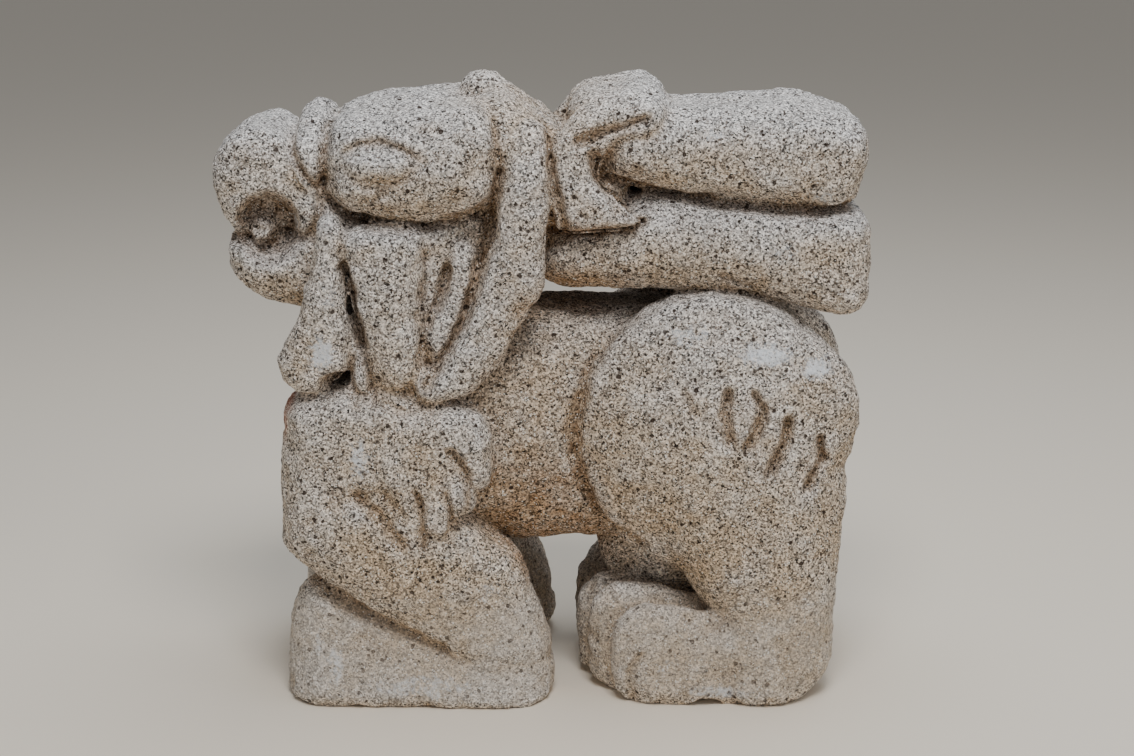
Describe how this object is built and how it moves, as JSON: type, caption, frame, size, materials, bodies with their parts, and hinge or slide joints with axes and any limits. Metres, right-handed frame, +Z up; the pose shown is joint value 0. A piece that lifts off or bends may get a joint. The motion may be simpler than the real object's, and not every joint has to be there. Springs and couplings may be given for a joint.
{
  "type": "carved beast statue",
  "caption": "Crouching beast carved from one block of porous stone, with a curled snout, hanging lips, laid-back horns, clawed haunches and flat soles.",
  "frame": {"origin": "on the ground, under the middle of the bounding box", "axes": "-X the way the beast faces, +X towards its tail, -Y its near side in the picture, +Z up"},
  "size_m": [0.334, 0.154, 0.32],
  "materials": {
    "porous_stone": "rough, open-pored, weathered"
  },
  "bodies": {
    "root": {"carved_beast": "porous_stone"}
  },
  "joints": []
}
